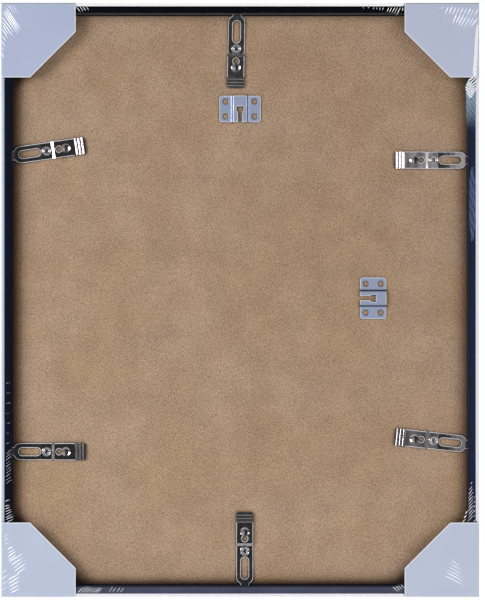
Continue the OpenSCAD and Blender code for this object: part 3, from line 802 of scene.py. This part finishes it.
def film_bridge(side, film):
    """Film that bridges two guards along one side: over the rim's back, down its outer side and over its front.

    It is laid out for the right side, drawn in between the guards and lifted to them at its ends, then turned.
    """
    level = side in ("top", "bottom")
    out, run = (HALF_Z, HALF_X) if level else (HALF_X, HALF_Z)
    half = run - GUARD_LEG
    width_back, width_front = 12.5 * MM, 15.2 * MM
    y_back, y_front = BACK_Y - FILM_OFF, FRONT_Y + FILM_OFF
    put_down()
    # The plane looks to the back, so that all that is extruded from it looks outwards
    bpy.ops.mesh.primitive_plane_add(size=1, location=(out - width_back / 2, y_back, 0), rotation=(math.pi / 2, 0, 0))
    obj = named("film_bridge_" + side)
    obj.scale = (width_back, 2 * half, 1)
    settle(obj)
    edit(obj)
    pick(obj, "edges", lambda e: near(middle(e).x, out))
    bpy.ops.mesh.extrude_edges_move(TRANSFORM_OT_translate={"value": (0, y_front - y_back, 0)})
    pick(obj, "edges", lambda e: near(middle(e).x, out) and near(middle(e).y, y_front))
    bpy.ops.mesh.extrude_edges_move(TRANSFORM_OT_translate={"value": (-width_front, 0, 0)})
    pick(obj, "edges", lambda e: near(middle(e).x, out) and near(middle(e).z, 0) and not e.is_boundary)
    bpy.ops.mesh.bevel(offset=film.fold, segments=3, affect="EDGES")
    # Opened anew, because cuts straight after a bevel leave the faces in another order from run to run
    put_down()
    edit(obj)
    # A cut where the film leaves the rim, since it is milky from there to its folds
    bpy.ops.mesh.bisect(plane_co=(out - HALF_X + RIM_HIGH.x + GATHER_OUT, 0, 0), plane_no=(1, 0, 0))
    # Stations along the length, close together where the film climbs onto a guard
    steps = (1.5, 3.5, 6, 10, 16, 26, 45, 80)
    stations = sorted({round(sign * (half - s * MM), 6) for s in steps for sign in (-1, 1)} | {0})
    for z in stations:
        bpy.ops.mesh.select_all(action="SELECT")
        bpy.ops.mesh.bisect(plane_co=(0, 0, z), plane_no=(0, 0, 1))
    # It falls from the guards within some 5 mm, and is drawn in over some 30 mm, by 0.35 mm at its middle
    rise_back, rise_front = CAD_LOW.y - film.gap - y_back, CAD_HIGH.y + film.gap - y_front
    fall, slack, draw_in = 5 * MM, 30 * MM, 0.35 * MM
    for z in [-half, *stations, half]:
        share = math.exp(-(half - abs(z)) / fall)
        sag = 1 - math.exp(-(half - abs(z)) / slack)
        pick(obj, "verts", lambda v: near(v.co.z, z, 0.00002) and v.co.y < BACK_Y + 2 * MM)
        bpy.ops.transform.translate(value=(0, rise_back * share, 0))
        pick(obj, "verts", lambda v: near(v.co.z, z, 0.00002) and v.co.y > FRONT_Y - 2 * MM)
        bpy.ops.transform.translate(value=(0, rise_front * share, 0))
        pick(obj, "verts", lambda v: near(v.co.z, z, 0.00002) and v.co.x > out - 1.2 * MM)
        bpy.ops.transform.translate(value=(film.gap - draw_in * sag, 0, 0))
    turn = {"right": 0, "top": -math.pi / 2, "left": math.pi, "bottom": math.pi / 2}[side]
    obj.rotation_euler = (0, turn, 0)
    obj.location = (0, 0, MIDDLE_Z)
    settle(obj)
    apply_modifier(obj, "SOLIDIFY", thickness=film.thickness, offset=-1.0)
    smooth(obj)
    return obj


def crease_shape(name, waves):
    """One crease of film, a metre long and wide for its copies to scale: a spindle that is thickest near one end.

    waves gives how far each ring along it is moved aside.
    """
    put_down()
    bpy.ops.mesh.primitive_cylinder_add(
        vertices=6, radius=0.5, depth=1, location=(0, 0, 0), rotation=(0, math.pi / 2, 0), end_fill_type="NGON")
    obj = named(name)
    settle(obj)
    edit(obj)
    rings = len(waves)
    for i in range(1, rings - 1):
        bpy.ops.mesh.select_all(action="SELECT")
        bpy.ops.mesh.bisect(plane_co=(i / (rings - 1) - 0.5, 0, 0), plane_no=(1, 0, 0))
    for i, aside in enumerate(waves):
        x = i / (rings - 1) - 0.5
        share = max(0.06, math.sin(math.pi * (i / (rings - 1)) ** 0.8) ** 0.7)
        pick(obj, "verts", lambda v: near(v.co.x, x, 0.001))
        bpy.ops.transform.resize(value=(1, share, share), center_override=(x, 0, 0))
        bpy.ops.transform.translate(value=(0, 0, aside))
    put_down()
    smooth(obj, 80)
    return obj


def lay_crease(master, start, end, normal, width, name):
    """A copy of a crease from one point to another on a flat face, half sunk in it."""
    along = end - start
    inwards = -normal
    across = along.normalized().cross(inwards)
    columns = (along, inwards * width * 0.6, across * width)
    turn = Matrix([[columns[c][r] for c in range(3)] for r in range(3)]).to_4x4()
    turn.translation = (start + end) / 2
    copy = bpy.data.objects.new(name, master.data.copy())
    bpy.context.scene.collection.objects.link(copy)
    copy.data.transform(turn)
    return copy


# Fans of creases, each between its first and its last crease: distances in mm in from the corner's upright and
# level sides, from one end to the other, then how many, and how wide as a share
GUARD_FANS = {
    "top_left": [
        ((4.2, 3.4, 19.6, 27.4), (1.2, 8.0, 16.8, 30.2), 4, 1.1),
        ((0.6, 12.6, 14.6, 30.8), (0.6, 22.8, 6.6, 31.8), 4, 0.9),
        ((9.5, 1.4, 17.0, 11.5), (5.3, 1.0, 13.0, 12.2), 3, 0.5),
        ((0.8, 29.0, 4.6, 35.0), (0.8, 44.0, 3.0, 50.0), 4, 0.55),
    ],
    "top_right": [
        ((27.4, 3.0, 31.0, 12.0), (1.0, 5.0, 5.0, 12.6), 9, 0.8),
        ((19.9, 9.4, 25.2, 21.4), (1.2, 13.0, 8.6, 23.2), 7, 0.95),
        ((32.7, 3.4, 34.6, 5.8), (35.6, 4.0, 36.8, 6.0), 2, 0.5),
    ],
    "bottom_left": [
        ((5.7, 42.3, 11.6, 45.5), (6.1, 32.0, 13.6, 38.4), 4, 0.75),
        ((6.9, 30.8, 20.3, 39.6), (13.5, 20.0, 24.0, 28.5), 5, 0.8),
        ((5.7, 14.8, 16.8, 21.6), (8.5, 3.4, 18.4, 8.6), 5, 0.8),
        ((1.0, 21.5, 6.0, 25.0), (1.2, 6.0, 7.0, 10.0), 4, 0.5),
        ((2.6, 53.0, 6.5, 57.0), (2.6, 46.5, 8.0, 50.5), 3, 0.4),
    ],
    "bottom_right": [
        ((25.3, 33.0, 15.4, 26.0), (31.2, 19.6, 10.4, 9.0), 6, 0.55),
    ],
}
RIM_FANS = {
    "top_left": [
        ((66.6, 2.9, 70.8, 8.6), (75.4, 3.0, 78.6, 6.8), 4, 0.6),
    ],
    "top_right": [
        ((69.9, 3.6, 73.9, 11.4), (80.2, 3.8, 82.6, 8.1), 5, 0.7),
        ((85.2, 3.6, 86.4, 7.2), (93.6, 4.0, 94.4, 5.8), 4, 0.5),
        ((98.3, 3.8, 98.7, 4.9), (102.7, 3.9, 103.0, 4.8), 2, 0.6),
        ((67.5, 4.2, 68.6, 7.4), (67.5, 4.2, 68.6, 7.4), 1, 0.7),
        ((9.6, 69.6, 7.0, 66.6), (4.4, 73.4, 2.4, 69.6), 4, 0.9),
    ],
    "bottom_left": [
        ((4.6, 66.4, 12.4, 70.4), (3.2, 80.4, 7.6, 82.4), 7, 0.6),
        ((3.2, 85.2, 8.6, 87.0), (3.2, 85.2, 8.6, 87.0), 1, 0.5),
        ((68.2, 3.4, 74.6, 10.6), (85.0, 3.2, 90.4, 8.8), 8, 0.5),
        ((96.0, 4.4, 99.5, 9.6), (106.0, 4.2, 110.0, 9.0), 4, 0.4),
        ((4.2, 101.0, 9.8, 105.0), (4.0, 127.0, 9.6, 132.0), 10, 0.2),
        ((4.2, 136.0, 9.0, 138.0), (4.0, 190.0, 9.4, 191.0), 7, 0.14),
    ],
    "bottom_right": [
        ((77.2, 9.4, 70.6, 3.6), (69.8, 11.0, 66.8, 7.6), 4, 0.65),
        ((14.8, 66.6, 11.6, 70.0), (12.2, 74.0, 9.8, 77.0), 3, 0.9),
        ((10.2, 66.8, 3.6, 74.2), (9.4, 91.0, 5.0, 97.0), 9, 0.52),
        ((5.0, 66.8, 3.0, 69.2), (4.6, 88.0, 3.2, 90.4), 6, 0.4),
        ((8.4, 95.4, 6.0, 98.8), (7.6, 100.4, 6.2, 102.4), 2, 0.5),
    ],
}


def fan(masters, corner, rows, y, normal, width, seed, name):
    """Creases of every row of a table, laid on the back or the front of one corner.

    Each is moved by up to 0.2 mm, cut short by up to a fifth and made thinner or thicker, none of them alike.
    """
    pen = random.Random(seed)
    laid = []
    for first, last, count, share in rows:
        for i in range(count):
            t = i / max(1, count - 1)
            a0, b0, a1, b1 = [f + (g - f) * t + pen.uniform(-0.2, 0.2) for f, g in zip(first, last)]
            start, end = corner_point(corner, a0, b0, y), corner_point(corner, a1, b1, y)
            end = start + (end - start) * pen.uniform(0.78, 1.0)
            master = masters[pen.randrange(2)]
            laid.append(lay_crease(master, start, end, normal, width * share * pen.uniform(0.6, 1.15), name))
    return laid


def side_fan(masters, corner, upright, width, seed, name):
    """Nine creases across one outer side of a guard, 3.4 mm apart from 3 mm off its corner."""
    pen = random.Random(seed)
    sx = -1 if "left" in corner else 1
    sz = 1 if "top" in corner else -1
    depth = CAD_HIGH.y - CAD_LOW.y
    laid = []
    for i in range(9):
        away = 3 + 3.4 * i + pen.uniform(-0.8, 0.8)
        y0 = CAD_LOW.y + depth * pen.uniform(0.08, 0.3)
        y1 = CAD_LOW.y + depth * pen.uniform(0.6, 0.92)
        lean = pen.uniform(0.5, 3.5)
        if upright:
            start, end = corner_point(corner, 0, away, y0), corner_point(corner, 0, away + lean, y1)
            normal = Vector((sx, 0, 0))
        else:
            start, end = corner_point(corner, away, 0, y0), corner_point(corner, away + lean, 0, y1)
            normal = Vector((0, 0, sz))
        lift = normal * 0.15 * MM
        laid.append(lay_crease(masters[i % 3], start + lift, end + lift, normal, width * pen.uniform(0.5, 0.9), name))
    return laid


def at(rows, b):
    """The row of a table at one distance, straight between the rows that are given."""
    for low, high in zip(rows, rows[1:]):
        if b <= high[0]:
            t = (b - low[0]) / (high[0] - low[0])
            return [p + (q - p) * t for p, q in zip(low[1:], high[1:])]
    return list(rows[-1][1:])


def tongue(name, corner, rows, y, height, ragged):
    """A tongue of film that has pulled loose: a grid, each row of it drawn to the width that a table gives.

    Rows are mm in from the corner's level side, then the tongue's two edges in mm in from its upright side.
    """
    along = 40
    put_down()
    bpy.ops.mesh.primitive_grid_add(x_subdivisions=6, y_subdivisions=along, size=1, location=(0, 0, 0))
    obj = named(name)
    pen = random.Random(name)
    torn = [(pen.uniform(-ragged, ragged), pen.uniform(-ragged, ragged)) for _ in range(along + 1)]
    for v in obj.data.vertices:
        u, w = v.co.x + 0.5, v.co.y + 0.5
        b = rows[0][0] + (rows[-1][0] - rows[0][0]) * w
        near_edge, far_edge = [edge + tear for edge, tear in zip(at(rows, b), torn[round(w * along)])]
        # It stands up between its edges, now more and now less along its length
        lift = 4 * u * (1 - u) * (0.6 + 0.4 * math.sin(1.3 * b + 5 * u))
        v.co = corner_point(corner, near_edge + (far_edge - near_edge) * u, b, y - height * lift)
    obj.data.update()
    if sum(p.normal.y for p in obj.data.polygons) > 0:
        edit(obj)
        bpy.ops.mesh.flip_normals()
        put_down()
    apply_modifier(obj, "SOLIDIFY", thickness=0.04 * MM, offset=1.0)
    smooth(obj, 70)
    return obj


class FRAME_OT_wrap_film(bpy.types.Operator):
    """Wraps the frame: film over each guard, and film that bridges from guard to guard along each side"""
    bl_idname = "picture_frame.wrap_film"
    bl_label = "Wrap the film"

    def execute(self, context):
        film = context.scene.frame_film
        clear = shrink_film("shrink_film_clear", "#8f9ac4", 0.004, 0.12, 9 * MM, 0.25 * MM)
        for corner in CORNERS:
            skin = film_corner(corner, film)
            dress(skin, clear)
            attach(skin, "corner_guard_" + corner)
        limit_x, limit_z = RIM_HIGH.x + GATHER_OUT, RIM_HIGH.z - MIDDLE_Z + GATHER_OUT
        for side in ("top", "bottom", "left", "right"):
            bridge = film_bridge(side, film)
            dress(bridge, clear)
            # The gathered film's tone on each side is painted light
            gathered = shrink_film("shrink_film_gathered_" + side, *GATHERED_LIT_TONES[side], 0.3, 18 * MM, 0.1 * MM)
            bridge.data.materials.append(gathered)
            # It is gathered where it turns from the back and the front to the outer side, which stays clear
            for face in bridge.data.polygons:
                outside = abs(face.center.x) > limit_x or abs(face.center.z - MIDDLE_Z) > limit_z
                if outside and abs(face.normal.y) > 0.3:
                    face.material_index = 1
            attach(bridge, "root")
        return {"FINISHED"}


class FRAME_OT_crease_film(bpy.types.Operator):
    """Lays the creases and puckers that the film has drawn at the corners and along the rim"""
    bl_idname = "picture_frame.crease_film"
    bl_label = "Crease the film"

    def execute(self, context):
        film = context.scene.frame_film
        # Creases are opaque white film with an emission: a painted glint
        milky = shrink_film("shrink_film_creased", "#ffffff", 1.0, 0.22, 2 * MM, 0.1 * MM, painted_glint=0.55)
        # The third is too crooked for the fans on the flat faces and lies only on the outer sides
        masters = [
            crease_shape("crease_bowed", (0, 0.1, 0.22, 0.28, 0.24, 0.12, 0)),
            crease_shape("crease_swayed", (0, 0.2, 0.3, 0.05, -0.25, -0.3, 0)),
            crease_shape("crease_hooked", (0.3, -0.35, -0.7, -0.5, 0.1, 0.6, 1.1)),
        ]
        back, front = Vector((0, -1, 0)), Vector((0, 1, 0))
        y_back, y_front = CAD_LOW.y - film.gap, CAD_HIGH.y + film.gap
        for n, corner in enumerate(CORNERS):
            name = "film_creases_guard_" + corner
            laid = fan(masters, corner, GUARD_FANS[corner], y_back, back, film.crease, 11 + n, name)
            laid += fan(masters, corner, GUARD_FANS[corner][:2], y_front, front, film.crease, 31 + n, name)
            laid += side_fan(masters, corner, True, film.crease, 51 + n, name)
            laid += side_fan(masters, corner, False, film.crease, 71 + n, name)
            creases = join(laid, name)
            dress(creases, milky)
            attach(creases, "corner_guard_" + corner)
            name = "film_creases_rim_" + corner
            laid = fan(masters, corner, RIM_FANS[corner], BACK_Y - CREASE_OFF, back, film.crease, 91 + n, name)
            laid += fan(masters, corner, RIM_FANS[corner][:1], FRONT_Y + CREASE_OFF, front, film.crease, 111 + n, name)
            creases = join(laid, name)
            dress(creases, milky)
            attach(creases, "root")
        for master in masters:
            bpy.data.objects.remove(master)
        # The tongues are film that has pulled loose; their pale, dark and bluish colours are painted highlights and
        # painted reflections on the film
        # Each tongue: its name, the body that it rides on, its depth, how high it bulges, its material, how ragged
        # its edges are, and its rows
        rim_y = BACK_Y - TONGUE_OFF
        fade = (CAD_HIGH.z - 80 * MM, CAD_HIGH.z - 114 * MM)
        tongues = (
            (
                "film_tongue_guard_top_right", "corner_guard_top_right", y_back, 0.5,
                streaked_film("shrink_film_pulled", "#ffffff", "#eceff7", 1.5 * MM, 1.1, 0.8, 1.0), 0.35,
                [(19, 0.9, 1.5), (21, 0.7, 2.4), (33, 1.0, 3.8), (48, 1.5, 4.8), (61, 2.0, 5.7), (65.4, 2.0, 5.5)],
            ),
            (
                "film_tongue_rim_striped", "root", rim_y - 0.2 * MM, 0.2,
                streaked_film("shrink_film_pleated", "#f4f6fb", "#141a2a", 2.3 * MM, -0.9, 0.9, 1.0), 0.15,
                [(66.2, 2.6, 7.6), (69, 2.4, 8.8), (71, 2.4, 9.4), (73.4, 2.6, 7.0), (75.2, 3.0, 4.6)],
            ),
            (
                "film_tongue_rim_upper", "root", rim_y, 0.5,
                streaked_film("shrink_film_folded", "#fafcff", "#9fb0c6", 1.9 * MM, 0.9, 0.9, 1.0), 0.3,
                [
                    (69.4, 6.2, 10.0), (72, 3.0, 11.2), (75, 2.6, 12.2), (78, 3.0, 12.0), (81, 4.6, 10.8),
                    (84.7, 7.0, 8.4),
                ],
            ),
            (
                "film_tongue_rim_below", "root", rim_y + 0.2 * MM, 0.1,
                streaked_film("shrink_film_smoky", "#93a5bb", "#7b8ea8", 3.2 * MM, 0.6, 0.74, 0.88, fade), 0.1,
                [(74, 2.8, 5.0), (79, 2.6, 11.6), (100, 2.8, 11.4), (122, 3.0, 11.2)],
            ),
            (
                "film_tongue_rim_middle", "root", rim_y + 0.2 * MM, 0.1,
                streaked_film("shrink_film_hazy", "#6478a4", "#4c5e86", 4.0 * MM, 0.4, 0.28, 0.4), 0.1,
                [(146, 5.0, 7.0), (160, 3.4, 8.6), (198, 3.4, 8.6), (212, 5.0, 7.0)],
            ),
        )
        for name, body, y, height, material, ragged, rows in tongues:
            made = tongue(name, "top_right", rows, y, height * MM, ragged)
            dress(made, material)
            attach(made, body)
        return {"FINISHED"}


def studio(stage):
    """White surroundings, dim in front of the frame's back, where bright plating would mirror them.

    The camera's own rays see plain white all round.
    """
    world = bpy.data.worlds.new("studio_white")
    world.use_nodes = True
    tree = world.node_tree
    tree.nodes.clear()
    look = add_node(tree, "TexCoord").outputs["Generated"]
    ahead = add_node(tree, "VectorMath", {0: look, 1: (0, -1, 0)}, operation="DOT_PRODUCT")
    front = add_node(tree, "MapRange", {
        "Value": ahead, "From Min": 0.68, "From Max": 0.88,
    }, interpolation_type="SMOOTHSTEP")
    leftwards = add_node(tree, "VectorMath", {0: look, 1: (-1, 0, 0.2)}, operation="DOT_PRODUCT")
    sides = add_node(tree, "MapRange", {
        "Value": leftwards, "From Min": -0.8, "From Max": 0.8, "To Min": stage.side_right, "To Max": stage.side_left,
    })
    # From the floor up: a bright sweep, a dark band, bright walls and a dim ceiling
    height = add_node(tree, "SeparateXYZ", {"Vector": look})
    share = add_node(tree, "MapRange", {"Value": height.outputs["Z"], "From Min": -1.0, "From Max": 1.0})
    bands = add_node(tree, "ValToRGB", {"Fac": share})
    ramp = bands.color_ramp
    ramp.elements[0].position, ramp.elements[0].color = 0.26, WHITE
    ramp.elements[1].position, ramp.elements[1].color = 0.86, (0.25, 0.25, 0.25, 1.0)
    for place, grey in ((0.33, 0.35), (0.46, 0.35), (0.52, 1.0), (0.64, 1.0)):
        ramp.elements.new(place).color = (grey, grey, grey, 1.0)
    level = add_node(tree, "Math", {0: sides, 1: bands}, operation="MULTIPLY")
    # A grey screen stands on the right of the dim part, brighter towards its top
    aside = add_node(tree, "VectorMath", {0: look, 1: (1, 0, 0.04)}, operation="DOT_PRODUCT")
    to_screen = add_node(tree, "MapRange", {
        "Value": aside, "From Min": 0.07, "From Max": 0.13,
    }, interpolation_type="SMOOTHSTEP")
    lit = add_node(tree, "MapRange", {
        "Value": height.outputs["Z"], "From Min": -0.06, "From Max": 0.05, "To Min": 0.8 * stage.screen,
        "To Max": 1.6 * stage.screen,
    })
    before = add_node(tree, "Mix", {"Factor": to_screen, "A": stage.dim, "B": lit}, data_type="FLOAT")
    around = add_node(tree, "Mix", {"Factor": front, "A": level, "B": before}, data_type="FLOAT")
    seen = add_node(tree, "LightPath").outputs["Is Camera Ray"]
    strength = add_node(tree, "Mix", {"Factor": seen, "A": around, "B": 1.0}, data_type="FLOAT")
    white = add_node(tree, "Background", {"Color": WHITE, "Strength": strength})
    add_node(tree, "OutputWorld", {"Surface": white})
    return world


class FRAME_OT_set_stage(bpy.types.Operator):
    """Sets the floor, the lights, the surroundings that the plating reflects, and the camera"""
    bl_idname = "picture_frame.set_stage"
    bl_label = "Set the stage"

    def execute(self, context):
        stage = context.scene.frame_stage
        centre = Vector((0, CAD_LOW.y, MIDDLE_Z))
        put_down()
        bpy.ops.mesh.primitive_circle_add(
            vertices=96, radius=1.1, fill_type="NGON", location=(0, 0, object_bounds()[0].z - stage.drop),
        )
        floor = named("floor")
        made, tree = new_material("studio_floor")
        plain = add_node(tree, "BsdfPrincipled", {
            "Base Color": linear("#b8b8b8"), "Roughness": 0.9, "Specular IOR Level": 0.1, "Emission Color": WHITE,
            "Emission Strength": 0.86,
        })
        add_node(tree, "OutputMaterial", {"Surface": plain})
        dress(floor, made)
        floor.visible_glossy = False
        floor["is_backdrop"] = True
        for name, power, size, spot in (
            ("key_light", stage.key, 0.8, (-1.35, -1.05, 0.1)),
            ("fill_light", stage.fill, 0.6, (1.3, -1.0, 0.1)),
        ):
            bpy.ops.object.light_add(type="AREA", location=spot)
            lamp = bpy.context.object
            lamp.name = name
            lamp.data.energy = power
            lamp.data.size = size
            lamp.rotation_euler = (centre - Vector(spot)).to_track_quat("-Z", "Y").to_euler()

        context.scene.world = studio(stage)
        bpy.ops.object.camera_add(
            location=(centre.x - stage.aside, centre.y - stage.distance, centre.z + stage.above),
            rotation=(math.pi / 2, 0, 0),
        )
        camera = bpy.context.object
        camera.name = "camera"
        camera.data.type = "PERSP"
        sensor = 36
        camera.data.sensor_width = sensor
        camera.data.lens = sensor * stage.distance / stage.view_height
        camera.data.shift_x = (stage.aside + stage.view_right) / stage.view_height
        camera.data.shift_y = -stage.above / stage.view_height
        camera.data.clip_start = 0.05
        context.scene.camera = camera
        context.scene.view_settings.view_transform = "Standard"
        put_down()
        return {"FINISHED"}


class FRAME_PT_panel(bpy.types.Panel):
    """The frame's steps and values, in the sidebar of the 3D view"""
    bl_idname = "FRAME_PT_panel"
    bl_label = "Picture frame"
    bl_space_type = "VIEW_3D"
    bl_region_type = "UI"
    bl_category = "Picture frame"

    def draw(self, context):
        for heading, group, steps in PANEL_ROWS:
            box = self.layout.box()
            box.label(text=heading)
            values = getattr(context.scene, group)
            for name in values.__annotations__:
                box.prop(values, name)
            for step in steps:
                box.operator(step.bl_idname)


GROUPS = {
    "frame_moulding": MouldingFinish,
    "frame_board": BoardFinish,
    "frame_metal": MetalFinish,
    "frame_card": CardFinish,
    "frame_film": FilmSizes,
    "frame_stage": StageSettings,
}
STEPS = (
    FRAME_OT_finish_moulding,
    FRAME_OT_finish_sheets,
    FRAME_OT_finish_hardware,
    FRAME_OT_finish_guards,
    FRAME_OT_wrap_film,
    FRAME_OT_crease_film,
    FRAME_OT_set_stage,
)
PANEL_ROWS = (
    ("Moulding", "frame_moulding", (FRAME_OT_finish_moulding,)),
    ("Sheets", "frame_board", (FRAME_OT_finish_sheets,)),
    ("Hardware", "frame_metal", (FRAME_OT_finish_hardware,)),
    ("Guards", "frame_card", (FRAME_OT_finish_guards,)),
    ("Film", "frame_film", (FRAME_OT_wrap_film, FRAME_OT_crease_film)),
    ("Stage", "frame_stage", (FRAME_OT_set_stage,)),
)


def register():
    """Registers the values, the steps and the panel."""
    for name, group in GROUPS.items():
        bpy.utils.register_class(group)
        setattr(bpy.types.Scene, name, bpy.props.PointerProperty(type=group))
    for step in STEPS:
        bpy.utils.register_class(step)
    bpy.utils.register_class(FRAME_PT_panel)


def unregister():
    """Takes them away again."""
    bpy.utils.unregister_class(FRAME_PT_panel)
    for step in reversed(STEPS):
        bpy.utils.unregister_class(step)
    for name, group in reversed(GROUPS.items()):
        delattr(bpy.types.Scene, name)
        bpy.utils.unregister_class(group)


def main():
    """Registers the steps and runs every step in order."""
    register()
    bpy.ops.picture_frame.finish_moulding()
    bpy.ops.picture_frame.finish_sheets()
    bpy.ops.picture_frame.finish_hardware()
    bpy.ops.picture_frame.finish_guards()
    bpy.ops.picture_frame.wrap_film()
    bpy.ops.picture_frame.crease_film()
    bpy.ops.picture_frame.set_stage()


if __name__ == "__main__":
    main()
